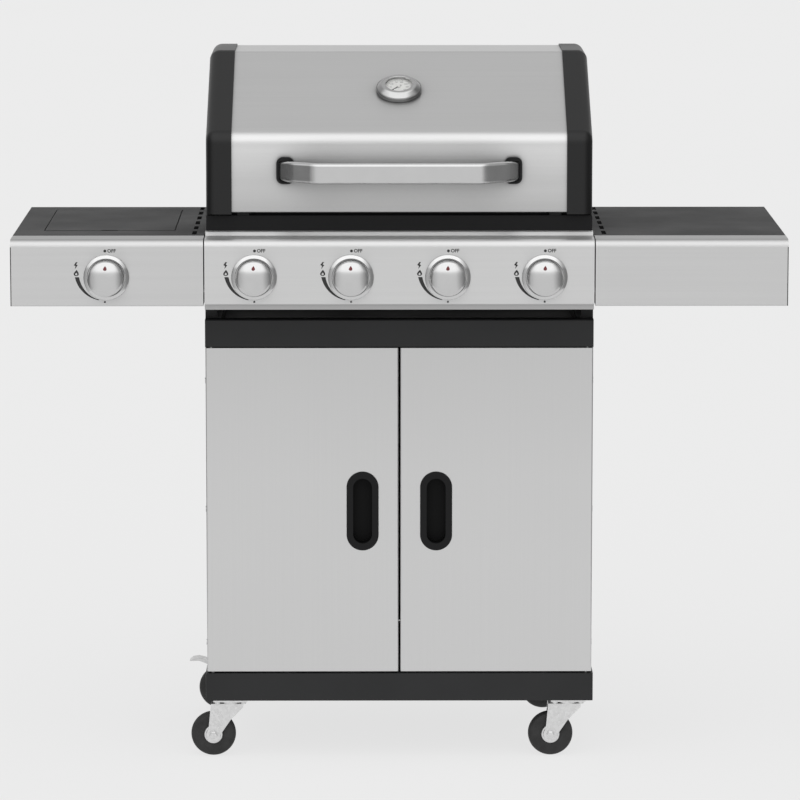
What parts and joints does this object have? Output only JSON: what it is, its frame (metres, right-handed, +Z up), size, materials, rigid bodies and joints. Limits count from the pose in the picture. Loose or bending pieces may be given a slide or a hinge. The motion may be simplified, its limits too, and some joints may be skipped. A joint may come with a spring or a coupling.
{
  "type": "gas barbecue grill",
  "caption": "Gas barbecue on a closed two-door cabinet trolley with a hinged lid, side burner, side shelf, control knobs and swivel casters.",
  "frame": {"origin": "on the floor, under the middle of the bounding box", "axes": "+Z up, +X to the right of a person in front of the knobs, +Y towards the back"},
  "size_m": [1.296, 0.546, 1.1825],
  "materials": {
    "stainless": "brushed, satin",
    "black_sheet": "satin powder coat",
    "shelf_sheet": "fine textured powder coat",
    "enamel": "heat-proof matt enamel",
    "zinc": "zinc plated",
    "chrome": "polished",
    "burner_steel": "satin",
    "brass": "machined",
    "cast_iron": "matt enamelled",
    "black_plastic": "fine grained",
    "grey_tread": "matt",
    "rubber": "matt",
    "dial_face": "printed, satin",
    "glass": "clear"
  },
  "bodies": {
    "trolley": {"base_pan": "black_sheet", "side_panel_left": "black_sheet", "side_panel_right": "black_sheet", "rear_panel": "black_sheet", "front_rail": "black_sheet", "door_magnets": "black_plastic", "hinge_pins": "zinc", "control_panel": "stainless", "knob_bezels": "chrome", "valve_bodies": "brass", "gas_manifold": "zinc", "firebox": "enamel", "burners": "burner_steel", "flame_tamers": "burner_steel", "cooking_grates": "cast_iron", "warming_rack": "chrome", "lid_buffers": "rubber", "shelf_top_left": "shelf_sheet", "shelf_top_right": "shelf_sheet", "shelf_fascia_left": "stainless", "shelf_fascia_right": "stainless", "panel_fasteners": "zinc", "side_burner_well": "enamel", "side_burner": "burner_steel", "side_burner_trivet": "cast_iron", "caster_plates": "zinc"},
    "lid": {"lid_skin": "stainless", "lid_cap_left": "black_sheet", "lid_cap_right": "black_sheet", "lid_handle": "stainless", "handle_seats": "black_plastic", "thermometer_case": "chrome", "thermometer_dial": "dial_face", "thermometer_glass": "glass"},
    "burner_lid": {"side_burner_lid": "shelf_sheet"},
    "left_door": {"door_left": "stainless", "door_grip_left": "black_plastic"},
    "right_door": {"door_right": "stainless", "door_grip_right": "black_plastic"},
    "tray": {"grease_tray": "enamel"},
    "stem_side": {"knob_stem_side": "zinc"},
    "stem_one": {"knob_stem_one": "zinc"},
    "stem_two": {"knob_stem_two": "zinc"},
    "stem_three": {"knob_stem_three": "zinc"},
    "stem_four": {"knob_stem_four": "zinc"},
    "dial_side": {"knob_side": "chrome"},
    "dial_one": {"knob_one": "chrome"},
    "dial_two": {"knob_two": "chrome"},
    "dial_three": {"knob_three": "chrome"},
    "dial_four": {"knob_four": "chrome"},
    "fork_front_left": {"caster_fork_front_left": "zinc"},
    "fork_front_right": {"caster_fork_front_right": "zinc"},
    "fork_rear_left": {"caster_fork_rear_left": "zinc"},
    "fork_rear_right": {"caster_fork_rear_right": "zinc"},
    "wheel_front_left": {"caster_wheel_front_left": "grey_tread"},
    "wheel_front_right": {"caster_wheel_front_right": "grey_tread"},
    "wheel_rear_left": {"caster_wheel_rear_left": "grey_tread"},
    "wheel_rear_right": {"caster_wheel_rear_right": "grey_tread"},
    "pedal_rear_left": {"brake_pedal_rear_left": "zinc"},
    "pedal_rear_right": {"brake_pedal_rear_right": "zinc"}
  },
  "joints": [
    {"name": "lid_hinge", "type": "hinge", "parent": "trolley", "child": "lid", "pos_m": [0, 0.227, 0.947], "axis": [-1, 0, 0], "range_deg": [0, 85]},
    {"name": "burner_lid_hinge", "type": "hinge", "parent": "trolley", "child": "burner_lid", "pos_m": [-0.4895, 0.217, 0.884], "axis": [-1, 0, 0], "range_deg": [0, 95]},
    {"name": "left_door_hinge", "type": "hinge", "parent": "trolley", "child": "left_door", "pos_m": [-0.316, -0.185, 0.4255], "axis": [0, 0, -1], "range_deg": [0, 110]},
    {"name": "right_door_hinge", "type": "hinge", "parent": "trolley", "child": "right_door", "pos_m": [0.316, -0.185, 0.4255], "axis": [0, 0, 1], "range_deg": [0, 110]},
    {"name": "grease_tray_slide", "type": "slide", "parent": "trolley", "child": "tray", "axis": [0, 1, 0], "range_m": [0, 0.38]},
    {"name": "knob_side_push", "type": "slide", "parent": "trolley", "child": "stem_side", "axis": [0, 1, 0], "range_m": [0, 0.004], "stiffness_N_per_m": 500, "springref_m": -0.004},
    {"name": "knob_one_push", "type": "slide", "parent": "trolley", "child": "stem_one", "axis": [0, 1, 0], "range_m": [0, 0.004], "stiffness_N_per_m": 500, "springref_m": -0.004},
    {"name": "knob_two_push", "type": "slide", "parent": "trolley", "child": "stem_two", "axis": [0, 1, 0], "range_m": [0, 0.004], "stiffness_N_per_m": 500, "springref_m": -0.004},
    {"name": "knob_three_push", "type": "slide", "parent": "trolley", "child": "stem_three", "axis": [0, 1, 0], "range_m": [0, 0.004], "stiffness_N_per_m": 500, "springref_m": -0.004},
    {"name": "knob_four_push", "type": "slide", "parent": "trolley", "child": "stem_four", "axis": [0, 1, 0], "range_m": [0, 0.004], "stiffness_N_per_m": 500, "springref_m": -0.004},
    {"name": "knob_side_turn", "type": "hinge", "parent": "stem_side", "child": "dial_side", "pos_m": [-0.488, -0.255, 0.827], "axis": [0, -1, 0], "range_deg": [0, 180]},
    {"name": "knob_one_turn", "type": "hinge", "parent": "stem_one", "child": "dial_one", "pos_m": [-0.2421, -0.255, 0.827], "axis": [0, -1, 0], "range_deg": [0, 180]},
    {"name": "knob_two_turn", "type": "hinge", "parent": "stem_two", "child": "dial_two", "pos_m": [-0.0807, -0.255, 0.827], "axis": [0, -1, 0], "range_deg": [0, 180]},
    {"name": "knob_three_turn", "type": "hinge", "parent": "stem_three", "child": "dial_three", "pos_m": [0.0807, -0.255, 0.827], "axis": [0, -1, 0], "range_deg": [0, 180]},
    {"name": "knob_four_turn", "type": "hinge", "parent": "stem_four", "child": "dial_four", "pos_m": [0.2421, -0.255, 0.827], "axis": [0, -1, 0], "range_deg": [0, 180]},
    {"name": "caster_front_left_swivel", "type": "hinge", "parent": "trolley", "child": "fork_front_left", "pos_m": [-0.2865, -0.173, 0.0885], "axis": [0, 0, 1], "continuous": true},
    {"name": "caster_front_right_swivel", "type": "hinge", "parent": "trolley", "child": "fork_front_right", "pos_m": [0.2865, -0.173, 0.0885], "axis": [0, 0, 1], "continuous": true},
    {"name": "caster_rear_left_swivel", "type": "hinge", "parent": "trolley", "child": "fork_rear_left", "pos_m": [-0.2865, 0.205, 0.0885], "axis": [0, 0, 1], "continuous": true},
    {"name": "caster_rear_right_swivel", "type": "hinge", "parent": "trolley", "child": "fork_rear_right", "pos_m": [0.2865, 0.205, 0.0885], "axis": [0, 0, 1], "continuous": true},
    {"name": "caster_front_left_roll", "type": "hinge", "parent": "fork_front_left", "child": "wheel_front_left", "pos_m": [-0.316, -0.173, 0.038], "axis": [0, 1, 0], "continuous": true},
    {"name": "caster_front_right_roll", "type": "hinge", "parent": "fork_front_right", "child": "wheel_front_right", "pos_m": [0.257, -0.173, 0.038], "axis": [0, 1, 0], "continuous": true},
    {"name": "caster_rear_left_roll", "type": "hinge", "parent": "fork_rear_left", "child": "wheel_rear_left", "pos_m": [-0.316, 0.205, 0.038], "axis": [0, 1, 0], "continuous": true},
    {"name": "caster_rear_right_roll", "type": "hinge", "parent": "fork_rear_right", "child": "wheel_rear_right", "pos_m": [0.257, 0.205, 0.038], "axis": [0, 1, 0], "continuous": true},
    {"name": "brake_rear_left_press", "type": "hinge", "parent": "fork_rear_left", "child": "pedal_rear_left", "pos_m": [-0.325, 0.205, 0.0805], "axis": [0, -1, 0], "range_deg": [0, 10]},
    {"name": "brake_rear_right_press", "type": "hinge", "parent": "fork_rear_right", "child": "pedal_rear_right", "pos_m": [0.248, 0.205, 0.0805], "axis": [0, -1, 0], "range_deg": [0, 10]}
  ]
}
